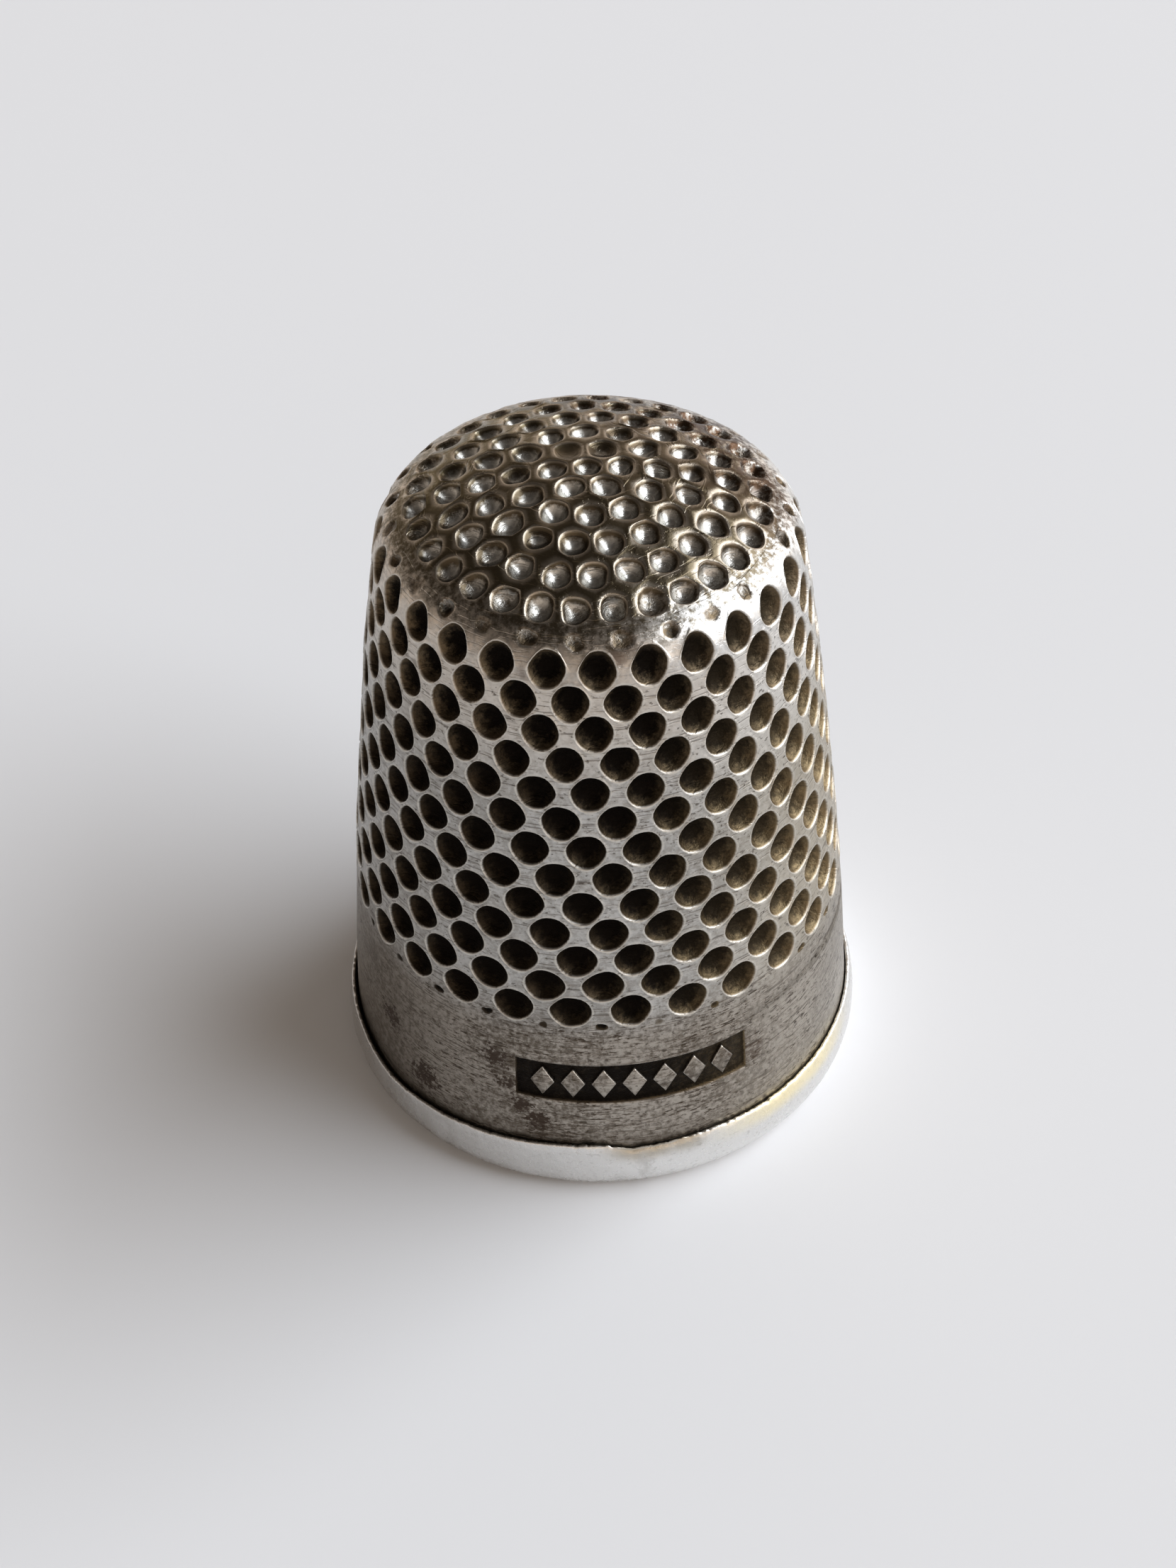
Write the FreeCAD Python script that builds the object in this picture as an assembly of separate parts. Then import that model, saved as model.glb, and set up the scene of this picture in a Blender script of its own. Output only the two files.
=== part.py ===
import FreeCAD, Part
import math
import os

# A lined metal thimble, standing on its open end.
# Two pressed pieces: a knurled steel shell, and a soft bright lining cup inside it whose
# lower edge is rolled out and up round the shell's edge, which makes the rim and locks the two.
# Millimetres, +Z up. The origin is on the axis, in the plane that the rim stands on.
# The front, where the sunk panel is, faces -Y. Angles run round the axis from there towards +X.

# ---- outside shape -------------------------------------------------------------------
height = 24.8              # from the rim's foot to the top of the crown
skirt_diameter = 18.16     # shell, where it comes out of the rim
side_taper = 3.4           # degrees that the side leans in, where it comes out of the rim
side_radius = 234.0        # the side bows out slightly, with this radius
shoulder_radius = 1.62     # round between the side and the crown
crown_radius = 12.7        # the crown is a shallow dome

# ---- sheet thicknesses and fits ------------------------------------------------------
shell_wall = 0.75
lining_wall = 0.25
lining_gap = 0.03          # clearance between the lining and the shell, all over
shell_edge_round = 0.28    # rounded corners on the shell's lower edge

# ---- rolled rim ----------------------------------------------------------------------
rim_height = 2.0           # up to the top of the rolled lip
roll_radius = 0.8          # outside round at the foot of the rim
lip_thickness = 0.14       # the lip is thinned where it is rolled down on the shell
mouth_round = 0.26         # inside round at the mouth, where the finger goes in

# ---- pits round the side -------------------------------------------------------------
pit_mouth = 1.38           # diameter of a pit at the surface
pit_depth = 0.42
pit_pitch = 1.84           # wanted distance from pit to pit along a row, half way up
row_pitch = 1.148          # wanted distance from row to row, along the side
row_step = 0.552           # each row is turned on by this share of a pitch
skirt_band = 6.48          # plain skirt, from the lip to the middles of the lowest row
top_row_rise = 0.22        # the top row runs on to the shoulder by this much
first_pit_angle = 6.2      # degrees, in the lowest row

# ---- pits on the crown ---------------------------------------------------------------
crown_pit_mouth = 0.96
crown_pit_depth = 0.3
crown_ring_pitch = 1.112   # distance between the rings of pits, and from pit to pit
first_crown_angle = 1.3    # degrees from +X

# ---- small marks of the knurling tool ------------------------------------------------
start_mark_mouth = 0.26    # shallow dots under the lowest row
start_mark_depth = 0.06
start_mark_drop = 0.68     # below the middles of the lowest row
faint_pit_mouth = 0.66     # shallow pits that the tool began on the shoulder
faint_pit_depth = 0.10
faint_row_rise = 1.0       # above the middles of the top row

# ---- sunk panel on the skirt, with a row of raised lozenges ----------------------------
panel_width = 8.4
panel_height = 1.8
panel_depth = 0.12
panel_rise = 2.2           # from the lip to the panel's lower edge
panel_angle = 6.6          # degrees, to the panel's middle
lozenge_count = 7
lozenge_height = 1.34
lozenge_width = 0.86
panel_end_margin = 0.45    # plain floor at each end of the panel


def along(centre, towards, distance):
    """The point at a distance from one point, in the direction of another."""
    dr = towards[0] - centre[0]
    dz = towards[1] - centre[1]
    length = math.hypot(dr, dz)
    return (centre[0] + dr / length * distance, centre[1] + dz / length * distance)


def circles_meet(a, radius_a, b, radius_b):
    """The higher of the two points where two circles cross. Points are (r, z)."""
    dr = b[0] - a[0]
    dz = b[1] - a[1]
    apart = math.hypot(dr, dz)
    run = (apart ** 2 + radius_a ** 2 - radius_b ** 2) / (2 * apart)
    rise = math.sqrt(radius_a ** 2 - run ** 2)
    foot = (a[0] + run * dr / apart, a[1] + run * dz / apart)
    one = (foot[0] + rise * dz / apart, foot[1] - rise * dr / apart)
    other = (foot[0] - rise * dz / apart, foot[1] + rise * dr / apart)
    return max(one, other, key=lambda point: point[1])


# Middles of the three arcs of the outline: the side, the shoulder and the crown.
# Every wall of both pieces is made of arcs round these same three middles.
taper = math.radians(side_taper)
side_middle = (
    skirt_diameter / 2 - side_radius * math.cos(taper),
    rim_height - side_radius * math.sin(taper),
)
crown_middle = (0.0, height - crown_radius)
shoulder_middle = circles_meet(
    side_middle, side_radius - shoulder_radius, crown_middle, crown_radius - shoulder_radius
)


def side_r(z, inset=0.0):
    """Radius of the side at a height, for a surface that lies an inset inside the outer one."""
    reach = side_radius - inset
    return side_middle[0] + math.sqrt(reach ** 2 - (z - side_middle[1]) ** 2)


def side_top(inset=0.0):
    """Where the side runs into the shoulder."""
    return along(side_middle, shoulder_middle, side_radius - inset)


def crown_edge(inset=0.0):
    """Where the shoulder runs into the crown."""
    return along(crown_middle, shoulder_middle, crown_radius - inset)


def side_top_angle():
    """Outward direction at the side's top end, in radians above level."""
    top = side_top()
    return math.atan2(top[1] - side_middle[1], top[0] - side_middle[0])


def side_length():
    """Length of the side's arc, from the lip to the shoulder."""
    return side_radius * (side_top_angle() - taper)


def outline_point(distance):
    """The point and outward direction at a distance up the outer outline from the lip."""
    if distance <= side_length():
        angle = taper + distance / side_radius
        middle = side_middle
        reach = side_radius
    else:
        angle = side_top_angle() + (distance - side_length()) / shoulder_radius
        middle = shoulder_middle
        reach = shoulder_radius
    spot = (middle[0] + reach * math.cos(angle), middle[1] + reach * math.sin(angle))
    return spot, angle


# ---- small helpers for outlines ------------------------------------------------------
def at(point):
    return FreeCAD.Vector(point[0], 0, point[1])


def line(start, end):
    return Part.LineSegment(at(start), at(end)).toShape()


def arc(middle, start, end):
    """The shorter arc round a middle, between two points at the same distance from it."""
    reach = math.hypot(start[0] - middle[0], start[1] - middle[1])
    half_way = ((start[0] + end[0]) / 2, (start[1] + end[1]) / 2)
    return Part.Arc(at(start), at(along(middle, half_way, reach)), at(end)).toShape()


def turned(edges):
    """A solid of revolution round Z from a closed outline in the XZ plane."""
    face = Part.Face(Part.Wire(edges))
    solid = face.revolve(FreeCAD.Vector(0, 0, 0), FreeCAD.Vector(0, 0, 1), 360)
    return solid if solid.Volume > 0 else solid.reversed()


def cup_edges(bottom_z, inset):
    """One wall's outline: up the side from a height, round the shoulder and over the crown."""
    start = (side_r(bottom_z, inset), bottom_z)
    return [
        arc(side_middle, start, side_top(inset)),
        arc(shoulder_middle, side_top(inset), crown_edge(inset)),
        arc(crown_middle, crown_edge(inset), (0.0, height - inset)),
    ]


# ---- the shell -----------------------------------------------------------------------
seat_z = lining_wall                    # the shell's edge stands on the lining's rolled floor
round_z = seat_z + shell_edge_round     # where the edge's rounds run into the walls


def shell_blank():
    """The drawn cup before knurling, of even wall, with a rounded lower edge."""
    outer = (side_r(round_z), round_z)
    inner = (side_r(round_z, shell_wall), round_z)
    outer_foot = (outer[0] - shell_edge_round, seat_z)
    inner_foot = (inner[0] + shell_edge_round, seat_z)
    outer_middle = (outer_foot[0], round_z)
    inner_middle = (inner_foot[0], round_z)
    edges = cup_edges(round_z, 0.0)
    edges.append(line((0.0, height), (0.0, height - shell_wall)))
    edges += cup_edges(round_z, shell_wall)
    edges.append(arc(inner_middle, inner, inner_foot))
    edges.append(line(inner_foot, outer_foot))
    edges.append(arc(outer_middle, outer_foot, outer))
    return turned(Part.__sortEdges__(edges))


def punch(mouth, depth):
    """A round-nosed punch along -Z: its mouth's middle is at the origin."""
    radius = mouth / 2
    ball = (radius ** 2 + depth ** 2) / (2 * depth)
    clear = depth                       # how far the punch stands out of the surface
    middle = (0.0, ball - depth)
    edges = [
        arc(middle, (0.0, -depth), (radius, 0.0)),
        line((radius, 0.0), (radius, clear)),
        line((radius, clear), (0.0, clear)),
        line((0.0, clear), (0.0, -depth)),
    ]
    return turned(edges)


def press(tool, spot, angle, round_angle):
    """A copy of a punch set on the surface: spot is (r, z), angle its outward tilt from level."""
    set_up = FreeCAD.Rotation(FreeCAD.Vector(0, 1, 0), 90 - math.degrees(angle))
    turn = FreeCAD.Rotation(FreeCAD.Vector(0, 0, 1), round_angle)
    placed = tool.copy()
    place = turn.multVec(at(spot))
    placed.Placement = FreeCAD.Placement(place, turn.multiply(set_up))
    return placed


def from_front(angle):
    """Turns an angle from the front into one from +X."""
    return angle - 90


def side_pits():
    """Staggered rows of pits from the plain skirt up to the shoulder, with the tool's marks."""
    field = side_length() + top_row_rise - skirt_band
    steps = max(1, round(field / row_pitch))
    middle_spot, _ = outline_point(skirt_band + field / 2)
    per_row = round(2 * math.pi * middle_spot[0] / pit_pitch)
    pitch_angle = 360 / per_row
    pit_punch = punch(pit_mouth, pit_depth)
    start_punch = punch(start_mark_mouth, start_mark_depth)
    faint_punch = punch(faint_pit_mouth, faint_pit_depth)
    rows = [(skirt_band + field * row / steps, row, pit_punch) for row in range(steps + 1)]
    rows.append((skirt_band - start_mark_drop, -1, start_punch))
    rows.append((skirt_band + field + faint_row_rise, steps + 1, faint_punch))
    pits = []
    for distance, row, tool in rows:
        spot, angle = outline_point(distance)
        for place in range(per_row):
            round_angle = first_pit_angle + pitch_angle * (place + row_step * row)
            pits.append(press(tool, spot, angle, from_front(round_angle)))
    return pits


def crown_pits():
    """Rings of small pits round a middle one, six more in each ring, out to the shoulder."""
    tool = punch(crown_pit_mouth, crown_pit_depth)
    rings = int((crown_edge()[0] - crown_pit_mouth / 2) / crown_ring_pitch)
    pits = [press(tool, (0.0, height), math.pi / 2, 0.0)]
    for ring in range(1, rings + 1):
        reach = ring * crown_ring_pitch
        angle = math.acos(reach / crown_radius)
        spot = (reach, crown_middle[1] + crown_radius * math.sin(angle))
        for place in range(6 * ring):
            pits.append(press(tool, spot, angle, first_crown_angle + place * 60 / ring))
    return pits


def lozenge(round_angle, z, width, tall):
    """A bar of lozenge section, standing radially through the skirt."""
    reach = side_r(z)
    corners = [(0, tall / 2), (width / 2, 0), (0, -tall / 2), (-width / 2, 0), (0, tall / 2)]
    outline = Part.makePolygon([FreeCAD.Vector(reach / 2, y, z + rise) for y, rise in corners])
    bar = Part.Face(outline).extrude(FreeCAD.Vector(reach, 0, 0))
    bar.rotate(FreeCAD.Vector(0, 0, 0), FreeCAD.Vector(0, 0, 1), from_front(round_angle))
    return bar


def panel_cut():
    """What the stamp sinks: a shallow rectangle round the skirt, less the raised lozenges."""
    low = rim_height + panel_rise
    high = low + panel_height
    middle_z = (low + high) / 2
    span = math.degrees(panel_width / side_r(middle_z))
    outside = side_r(low) + panel_depth
    edges = [
        arc(side_middle, (side_r(low, panel_depth), low), (side_r(high, panel_depth), high)),
        line((side_r(high, panel_depth), high), (outside, high)),
        line((outside, high), (outside, low)),
        line((outside, low), (side_r(low, panel_depth), low)),
    ]
    face = Part.Face(Part.Wire(edges))
    sunk = face.revolve(FreeCAD.Vector(0, 0, 0), FreeCAD.Vector(0, 0, 1), span)
    sunk.rotate(FreeCAD.Vector(0, 0, 0), FreeCAD.Vector(0, 0, 1), from_front(panel_angle - span / 2))
    margin = math.degrees(panel_end_margin / side_r(middle_z))
    step = (span - 2 * margin) / lozenge_count
    bars = []
    for number in range(lozenge_count):
        round_angle = panel_angle - span / 2 + margin + step * (number + 0.5)
        bars.append(lozenge(round_angle, middle_z, lozenge_width, lozenge_height))
    return sunk.cut(bars)


def outer_shell():
    return shell_blank().cut(side_pits() + crown_pits() + [panel_cut()])


# ---- the lining ----------------------------------------------------------------------
lining_outset = shell_wall + lining_gap             # inset of the lining's outer surface
lining_inset = lining_outset + lining_wall          # inset of the surface that the finger meets


def lining_cup():
    """A thin cup inside the shell, whose lower edge is rolled round the shell's edge."""
    # the groove in the roll that holds the shell's edge
    groove_in = (side_r(round_z, lining_outset), round_z)
    groove_in_foot = (groove_in[0] + shell_edge_round, seat_z)
    groove_out = (side_r(round_z) + lining_gap, round_z)
    groove_out_foot = (groove_out[0] - shell_edge_round, seat_z)
    # the lip, lying along the shell's side
    lip_in = (side_r(rim_height, -lining_gap), rim_height)
    lip_out = (lip_in[0] + lip_thickness, rim_height)
    # outside of the roll: a round at the foot, then a slow curve in to the lip
    widest = (groove_out[0] + lining_wall, roll_radius)
    fall = widest[0] - lip_out[0]
    rise = lip_out[1] - widest[1]
    band_radius = (fall ** 2 + rise ** 2) / (2 * fall)
    foot_out = (widest[0] - roll_radius, 0.0)
    # the mouth
    mouth = (side_r(mouth_round, lining_inset), mouth_round)
    foot_in = (mouth[0] + mouth_round, 0.0)
    edges = cup_edges(mouth_round, lining_inset)
    edges.append(line((0.0, height - lining_inset), (0.0, height - lining_outset)))
    edges += cup_edges(round_z, lining_outset)
    edges.append(arc((groove_in_foot[0], round_z), groove_in, groove_in_foot))
    edges.append(line(groove_in_foot, groove_out_foot))
    edges.append(arc((groove_out_foot[0], round_z), groove_out_foot, groove_out))
    edges.append(arc(side_middle, groove_out, lip_in))
    edges.append(line(lip_in, lip_out))
    edges.append(arc((widest[0] - band_radius, roll_radius), lip_out, widest))
    edges.append(arc((foot_out[0], roll_radius), widest, foot_out))
    edges.append(line(foot_out, foot_in))
    edges.append(arc((foot_in[0], mouth_round), foot_in, mouth))
    return turned(Part.__sortEdges__(edges))


os.makedirs("parts", exist_ok=True)
pieces = {"outer_shell": outer_shell(), "lining_cup": lining_cup()}
for name, shape in pieces.items():
    shape.exportStep("parts/" + name + ".step")
    box = shape.BoundBox
    print(name, "volume %.1f mm3" % shape.Volume, "valid", shape.isValid(), "solids", len(shape.Solids))
    print("  radius %.3f, from z %.3f to %.3f" % (box.XMax, box.ZMin, box.ZMax))
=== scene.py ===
import math

import bmesh
import bpy
import numpy as np
from mathutils import Euler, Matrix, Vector


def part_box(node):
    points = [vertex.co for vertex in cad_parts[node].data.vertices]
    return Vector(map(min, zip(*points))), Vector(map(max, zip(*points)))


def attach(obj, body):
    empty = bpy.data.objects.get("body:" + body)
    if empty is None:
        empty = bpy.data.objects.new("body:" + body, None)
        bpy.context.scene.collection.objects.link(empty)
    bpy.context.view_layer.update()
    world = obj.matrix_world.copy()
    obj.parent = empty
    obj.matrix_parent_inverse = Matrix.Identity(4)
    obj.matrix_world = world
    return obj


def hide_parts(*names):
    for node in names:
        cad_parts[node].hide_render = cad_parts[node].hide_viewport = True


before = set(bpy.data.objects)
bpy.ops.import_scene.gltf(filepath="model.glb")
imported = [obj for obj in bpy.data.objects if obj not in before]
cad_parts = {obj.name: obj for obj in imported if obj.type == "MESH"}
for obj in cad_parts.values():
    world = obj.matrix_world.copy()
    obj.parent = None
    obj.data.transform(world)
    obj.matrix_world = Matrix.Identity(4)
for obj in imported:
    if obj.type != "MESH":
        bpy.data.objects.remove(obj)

bpy.context.view_layer.update()

mm = 0.001
fullTurn = 2 * math.pi
anyAngle = 6.28  # random angles are drawn from nought up to this
rng = np.random.default_rng(27)

# the outline that both pieces share, in millimetres
outline = {
    "skirtRadius": 9.08,  # where the shell comes out of the rim
    "lipHeight": 2.0,
    "sideTaper": 3.4,  # degrees
    "sideRadius": 234.0, "shoulderRadius": 1.62, "crownRadius": 12.7, "shellWall": 0.75,
    "liningWall": 0.25, "gap": 0.03, "edgeRound": 0.28,
}
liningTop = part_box("lining_cup")[1].z / mm
outline["height"] = liningTop + outline["shellWall"] + outline["gap"]


def circlesMeet(a, radiusA, b, radiusB):  # the higher of the two points where they cross
    dr = b[0] - a[0]
    dz = b[1] - a[1]
    apart = math.hypot(dr, dz)
    run = (apart**2 + radiusA**2 - radiusB**2) / (2 * apart)
    rise = math.sqrt(radiusA**2 - run**2)
    foot = (a[0] + run * dr / apart, a[1] + run * dz / apart)
    ends = [(foot[0] + k * rise * dz / apart, foot[1] - k * rise * dr / apart) for k in (1, -1)]
    return max(ends, key=lambda end: end[1])


def makeOutline(o):  # three arcs: the side, the shoulder and the crown
    taper = math.radians(o["sideTaper"])
    side = (o["skirtRadius"] - o["sideRadius"] * math.cos(taper),
            o["lipHeight"] - o["sideRadius"] * math.sin(taper))
    crown = (0.0, o["height"] - o["crownRadius"])
    shoulder = circlesMeet(side, o["sideRadius"] - o["shoulderRadius"],
                           crown, o["crownRadius"] - o["shoulderRadius"])
    sideEnd = math.atan2(shoulder[1] - side[1], shoulder[0] - side[0])
    crownStart = math.atan2(shoulder[1] - crown[1], shoulder[0] - crown[0])
    o["middles"] = np.array([side, shoulder, crown])
    o["reaches"] = np.array([o["sideRadius"], o["shoulderRadius"], o["crownRadius"]])
    o["starts"] = np.array([taper, sideEnd, crownStart])
    o["sideLength"] = o["sideRadius"] * (sideEnd - taper)
    o["shoulderLength"] = o["shoulderRadius"] * (crownStart - sideEnd)
    o["crownLength"] = o["crownRadius"] * (math.pi / 2 - crownStart)
    o["shoulderTop"] = o["sideLength"] + o["shoulderLength"]
    o["length"] = o["shoulderTop"] + o["crownLength"]


makeOutline(outline)
print("outline made, length", round(outline["length"], 3))


def outlineAt(up, inset=0.0):  # up is the distance along the outline from the lip
    o = outline
    up = np.asarray(up, float)
    edges = np.array([0.0, o["sideLength"], o["shoulderTop"]])
    part = np.clip(np.searchsorted(edges, up, side="right") - 1, 0, 2)
    angle = o["starts"][part] + (up - edges[part]) / o["reaches"][part]
    reach = o["reaches"][part] - inset
    r = o["middles"][part, 0] + reach * np.cos(angle)
    z = o["middles"][part, 1] + reach * np.sin(angle)
    return r, z, angle


def onSurface(turn, up, lift=0.0, inset=0.0):  # turn is the angle from the front, towards +X
    turn, up = np.broadcast_arrays(turn, up)
    r, z, angle = outlineAt(up, inset)
    r = r + lift * np.cos(angle)
    z = z + lift * np.sin(angle)
    return np.stack([r * np.sin(turn), -r * np.cos(turn), z], -1)


def ripples(turn, up, count, finest, size, seed):  # smooth unevenness that closes round the axis
    draw = np.random.default_rng(seed)
    total = np.zeros(np.broadcast(turn, up).shape)
    for _ in range(count):
        turns = draw.integers(1, finest)
        rise = draw.normal(0, finest / 12)
        total = total + np.sin(turns * turn + rise * up + draw.uniform(0, anyAngle))
    return total * size / math.sqrt(count)


class Gather:  # points, faces and point masks of one piece
    def __init__(self, masks):
        self.points = []
        self.faces = []
        self.count = 0
        self.masks = {name: [] for name in masks}

    def add(self, points, faces, **masks):
        points = np.asarray(points, float).reshape(-1, 3)
        self.points.append(points)
        for name, kept in self.masks.items():
            value = masks.get(name, 0.0)
            kept.append(np.broadcast_to(np.asarray(value, float).reshape(-1), len(points)))
        self.faces += [tuple(int(i) + self.count for i in face) for face in faces]
        self.count += len(points)

    def build(self, name, weld=0.004):
        mesh = bpy.data.meshes.new(name)
        mesh.from_pydata(np.concatenate(self.points) * mm, [], self.faces)
        for mask, kept in self.masks.items():
            layer = mesh.attributes.new(mask, "FLOAT", "POINT")
            layer.data.foreach_set("value", np.concatenate(kept).astype(np.float32))
        work = bmesh.new()
        work.from_mesh(mesh)
        bmesh.ops.remove_doubles(work, verts=work.verts, dist=weld * mm)
        bmesh.ops.recalc_face_normals(work, faces=work.faces)
        work.to_mesh(mesh)
        openEdges = sum(not edge.is_manifold for edge in work.edges)
        work.free()
        mesh.polygons.foreach_set("use_smooth", [True] * len(mesh.polygons))
        piece = bpy.data.objects.new(name, mesh)
        bpy.context.scene.collection.objects.link(piece)
        mesh.calc_loop_triangles()
        print(name, "made, triangles", len(mesh.loop_triangles), "open edges", openEdges)
        return piece


def gridFaces(rows, columns):  # quads between closed rows of points, row by row
    faces = []
    for row in range(rows - 1):
        for column in range(columns):
            after = (column + 1) % columns
            faces.append((row * columns + column, row * columns + after,
                          (row + 1) * columns + after, (row + 1) * columns + column))
    return faces


def fanFaces(first, count, middle):  # triangles from a closed ring to its middle point
    return [(first + k, first + (k + 1) % count, middle) for k in range(count)]


def stitchFaces(low, high):  # triangles between two closed rings, from their rising angles
    faces = []
    i = 0
    j = 0
    n = len(low)
    m = len(high)
    low = np.append(low, low[0] + fullTurn)
    high = np.append(high, high[0] + fullTurn)
    while i < n or j < m:
        if j == m or (i < n and low[i + 1] <= high[j + 1]):
            faces.append((i % n, (i + 1) % n, n + j % m))
            i += 1
        else:
            faces.append((i % n, n + (j + 1) % m, n + j % m))
            j += 1
    return faces


def ringedFaces(cells, rings, around):  # each cell: rings from the edge inwards, then a middle
    one = gridFaces(rings, around) + fanFaces((rings - 1) * around, around, rings * around)
    size = rings * around + 1
    faces = []
    for cell in range(cells):
        start = cell * size
        faces += [tuple(start + i for i in face) for face in one]
    return faces


def polygonEdge(corners, counts):  # corners (cells, n, 2) to points round the edge
    points = []
    for k, count in enumerate(counts):
        a = corners[:, k]
        b = corners[:, (k + 1) % len(counts)]
        for step in range(count):
            t = step / count
            points.append(a * (1 - t) + b * t)
    return np.stack(points, 1)


def mouthRadius(angle, reach, pit):  # a soft-cornered oval, uneven, that stays inside its cell
    half = pit["halfWidth"].reshape(-1, 1)
    tall = pit["halfHeight"].reshape(-1, 1)
    one = (len(angle), 1)
    turned = angle - rng.normal(0, pit["turn"], one)
    power = pit["power"]
    radius = (np.abs(np.cos(turned) / half)**power + np.abs(np.sin(turned) / tall)**power)**(-1 / power)
    for order in pit["orders"]:
        wave = rng.normal(0, pit["uneven"] / order, one)
        radius = radius * (1 + wave * np.cos(order * angle + rng.uniform(0, anyAngle, one)))
    limit = reach * pit["softLimit"]  # keeps the mouth smooth where two pits come close
    hardness = pit["hardness"]
    soft = (radius**-hardness + limit**-hardness)**(-1 / hardness)
    return np.minimum(soft, reach * pit["hardLimit"])


def sinkPits(edge, pit, edgeShare=1.0):
    # edge: (cells, around, 2) from each pit's middle. Gives points, lifts and masks for all the rings.
    edgeShare = edgeShare * np.ones(edge.shape[:2])
    cells, around = edge.shape[:2]
    one = (cells, 1)
    edgeAngle = np.unwrap(np.arctan2(edge[..., 1], edge[..., 0]), axis=1)
    steps = (np.arange(around) - (around - 1) / 2) * fullTurn / around
    even = edgeAngle.mean(1, keepdims=True) + steps
    angle = (1 - pit["evenShare"]) * edgeAngle + pit["evenShare"] * even
    direction = np.stack([np.cos(angle), np.sin(angle)], -1)
    radius = mouthRadius(angle, np.linalg.norm(edge, axis=-1), pit)
    mouth = direction * radius[..., None]
    gap = np.linalg.norm(edge - mouth, axis=-1)
    lean = rng.normal(0, pit["lean"], (cells, 1, 2))
    depth = (pit["depth"] * (1 + rng.normal(0, pit["depthVaries"], (cells,)))).reshape(-1, 1)
    lipHigh = pit["lip"] * (1 + pit["lipWave"] * np.cos(angle - rng.uniform(0, anyAngle, one))
                            + rng.normal(0, pit["lipVaries"], one))
    lipHigh = lipHigh * (pit["lipAtRim"] + (1 - pit["lipAtRim"]) * edgeShare)
    rings = [edge]
    lifts = [pit["ridge"] * edgeShare]
    sunk = [0.0]
    lips = [0.0]

    def ring(points, lift, deep, bright):
        rings.append(points)
        lifts.append(lift)
        sunk.append(deep)
        lips.append(bright)

    if pit["landRing"]:
        ring(mouth + (edge - mouth) * 0.5, lipHigh * 0.25, 0.0, 0.25)
    share = np.minimum(0.5, pit["lipWidth"] / np.maximum(gap, 1e-6))[..., None]
    ring(mouth + (edge - mouth) * share, lipHigh, 0.0, 1.0)
    ring(mouth, lipHigh * 0.4, 0.05, 0.9)
    for inward, down in pit["bowl"]:
        wall = -depth * down * np.ones((1, around))
        ring(mouth * inward + lean * (1 - inward), wall, 0.25 + 0.75 * down, 0.0)
    flat = np.stack(rings, 1).reshape(cells, -1, 2)
    lift = np.stack(lifts, 1).reshape(cells, -1)
    flat = np.concatenate([flat, lean], 1)
    lift = np.concatenate([lift, -depth * np.ones(one)], 1)
    sunk = np.append(np.repeat(sunk, around), 1.0)
    lips = np.append(np.repeat(lips, around), 0.0)
    fade = np.minimum(1.0, depth / pit["fullDepth"])
    faces = ringedFaces(cells, len(rings), around)
    return flat, lift, sunk * fade, lips * pit["shine"] * np.ones(one), faces


# the shell: a steel cup with staggered pits round its side and rings of pits on its crown
shell = {
    "rows": 13, "perRow": 27,
    "rowStep": 0.552,  # how far each row is turned on, as a share of the pitch
    "firstAngle": 6.2,  # degrees
    "skirtBand": 6.48,  # from the lip up to the lowest row
    "topRowRise": 0.22,
    "pitWidthShare": 0.083,  # half the width of a pit, as a share of the radius there
    "pitHalfHeight": 0.67, "pitStray": 0.018,
    "topGrows": 0.05,  # the upper rows are struck a little wider
    "growingRows": 5, "perEdge": 6, "faintRise": 0.96, "faintTop": 1.31,
    "faintSize": (0.27, 0.1),  # the least half width, and what chance adds
    "faintTall": 0.85, "faintStray": 0.04, "dotDrop": 0.68, "dotFoot": 1.53, "dotSize": (0.17, 0.1),
    "dotHalfHeight": 0.15, "dotStray": 0.03, "rings": 5, "ringPitch": 1.112,
    "crownAngle": 1.3,  # degrees
    "crownHalfWidth": 0.48,
    "crownEdge": 0.56,  # from the outer ring's middles to the smooth band
    "crownStray": 0.02, "crownPerEdge": 5, "panelWidth": 8.4, "panelLow": 2.2, "panelHeight": 1.8,
    "panelDepth": 0.12,
    "panelAngle": 6.6,  # degrees
    "panelSoft": 0.05, "panelColumns": 72,
    "panelMask": 0.8,  # how dark the sunk floor is, next to a pit
    "skirtFoot": -1.4,  # the skirt runs this far below the lip, inside the roll
    "insideColumns": 81, "lozengeCount": 7, "lozengeWidth": 0.86, "lozengeHeight": 1.34,
    "lozengeMargin": 0.45,
    "lozengeRings": ((1.0, -0.2, 0.0), (1.0, -0.045, 0.3), (0.97, -0.015, 1.0), (0.9, 0.004, 0.5)),
    "lozengeTop": 0.008,
}
sidePit = {
    "depth": 0.5,
    "fullDepth": 0.3,  # from this depth on, the pit is as dark as it gets
    "depthVaries": 0.05,
    "bowl": ((0.955, 0.18), (0.82, 0.52), (0.5, 0.87)),  # shares of the width and of the depth
    "power": 2.35,  # 2 is an oval, and more is squarer
    "turn": 0.1, "uneven": 0.045, "orders": (2, 3, 5), "evenShare": 0.4, "softLimit": 0.985,
    "hardLimit": 0.955, "hardness": 10, "lean": 0.02, "lip": 0.022, "lipWidth": 0.035, "lipWave": 0.35,
    "lipVaries": 0.25, "lipAtRim": 0.3, "ridge": 0.0, "landRing": True, "shine": 1.0,
}
faintPit = dict(sidePit, depth=0.15, fullDepth=0.22, depthVaries=0.45, bowl=((0.8, 0.36), (0.45, 0.8)),
                turn=0.6, uneven=0.16, lean=0.05, lip=0.012, lipWidth=0.08, landRing=False, shine=0.4)
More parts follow.
